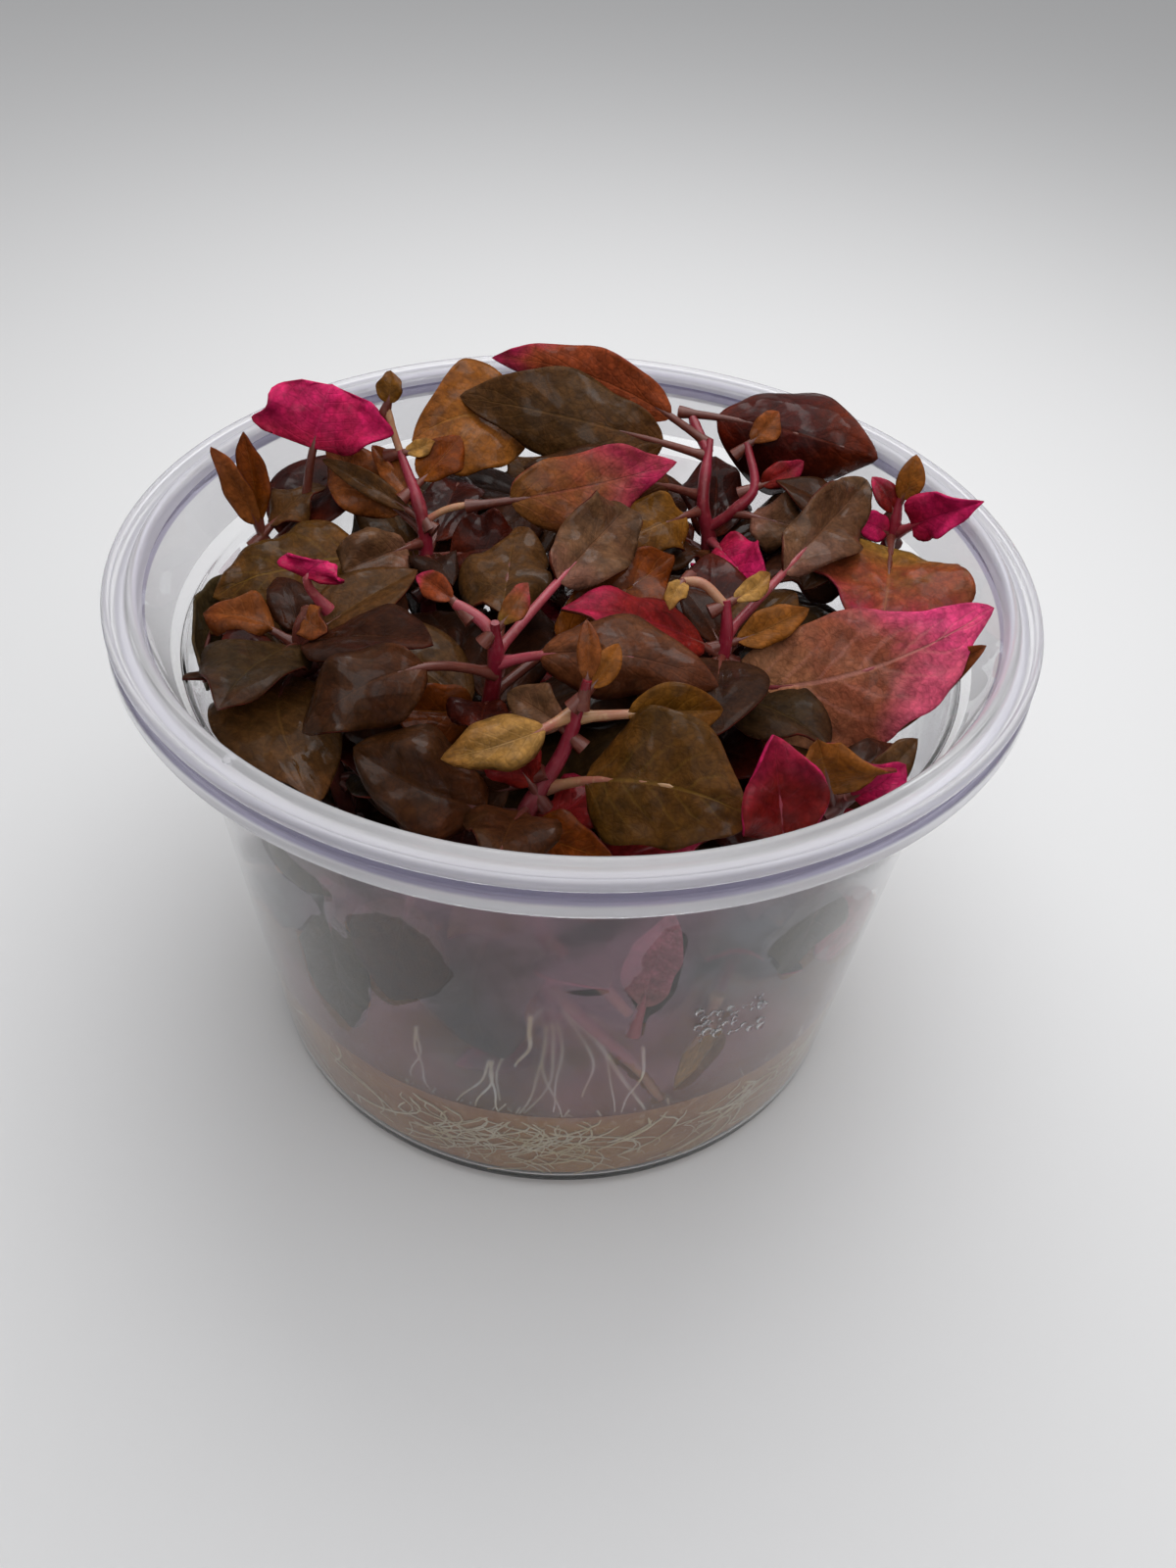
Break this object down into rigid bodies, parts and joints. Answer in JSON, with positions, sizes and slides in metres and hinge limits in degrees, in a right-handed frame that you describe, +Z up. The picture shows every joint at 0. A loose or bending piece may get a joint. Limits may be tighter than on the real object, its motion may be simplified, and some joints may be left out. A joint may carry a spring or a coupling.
{
  "type": "tissue culture aquarium plant in cup",
  "caption": "Open tapered plastic cup of tissue cultured dwarf Alternanthera reineckii: crowded plantlets with red-brown leaves rooted in nutrient gel.",
  "frame": {"origin": "middle of the cup's flat base, on the surface it stands on", "axes": "+Z up through the open top; -Y towards the side that the picture was taken from; +X to that viewer's right"},
  "size_m": [0.097, 0.097, 0.074],
  "materials": {
    "cup_plastic": "clear, slightly hazy polypropylene, glossy, with condensation inside",
    "nutrient_gel": "cloudy tan nutrient gel, wet and translucent",
    "stem": "juicy magenta stem, waxy, paler at the joints",
    "leaf_olive": "olive-brown leaf, waxy and wet, sunken veins",
    "leaf_plum": "grey-purple to brown leaf, waxy and wet, pale midrib",
    "leaf_maroon": "dark maroon leaf, waxy and wet",
    "leaf_rust": "orange-brown translucent leaf",
    "leaf_rose": "dusty rose leaf with an olive base and a pink tip",
    "leaf_pink": "bright magenta young leaf",
    "leaf_gold": "golden olive leaf with a cream midrib"
  },
  "bodies": {
    "root": {"back_leaf_1": "leaf_gold", "back_leaf_2": "leaf_olive", "back_leaf_3": "leaf_maroon", "back_left_leaf_1": "leaf_rose", "back_left_leaf_2": "leaf_plum", "back_left_leaf_3": "leaf_olive", "back_left_leaf_4": "leaf_rust", "back_left_leaf_5": "leaf_maroon", "back_left_stem": "stem", "back_right_leaf_1": "leaf_olive", "back_right_leaf_2": "leaf_rust", "back_right_leaf_3": "leaf_maroon", "back_right_leaf_4": "leaf_gold", "back_right_leaf_5": "leaf_plum", "back_right_leaf_6": "leaf_plum", "back_right_leaf_7": "leaf_pink", "back_right_stem": "stem", "back_stem": "stem", "centre_leaf_1": "leaf_plum", "centre_leaf_2": "leaf_plum", "centre_leaf_3": "leaf_plum", "centre_leaf_4": "leaf_olive", "centre_leaf_5": "leaf_rust", "centre_stem": "stem", "cup": "cup_plastic", "far_left_leaf_1": "leaf_pink", "far_left_leaf_2": "leaf_olive", "far_left_stem": "stem", "front_leaf_1": "leaf_olive", "front_leaf_2": "leaf_gold", "front_leaf_3": "leaf_gold", "front_leaf_4": "leaf_plum", "front_leaf_5": "leaf_plum", "front_leaf_6": "leaf_plum", "front_leaf_7": "leaf_olive", "front_leaf_8": "leaf_pink", "front_right_leaf_1": "leaf_rust", "front_right_leaf_2": "leaf_pink", "front_right_leaf_3": "leaf_olive", "front_right_leaf_4": "leaf_rose", "front_right_leaf_5": "leaf_gold", "front_right_stem": "stem", "front_stem": "stem", "gel": "nutrient_gel", "left_leaf_1": "leaf_pink", "left_leaf_2": "leaf_olive", "left_leaf_3": "leaf_rust", "left_leaf_4": "leaf_maroon", "left_leaf_5": "leaf_plum", "left_leaf_6": "leaf_olive", "left_leaf_7": "leaf_olive", "left_stem": "stem", "right_back_leaf_1": "leaf_pink", "right_back_leaf_2": "leaf_rose", "right_back_stem": "stem", "right_leaf_1": "leaf_rose", "right_leaf_2": "leaf_plum", "right_leaf_3": "leaf_rust", "right_leaf_4": "leaf_maroon", "right_stem": "stem"}
  },
  "joints": []
}
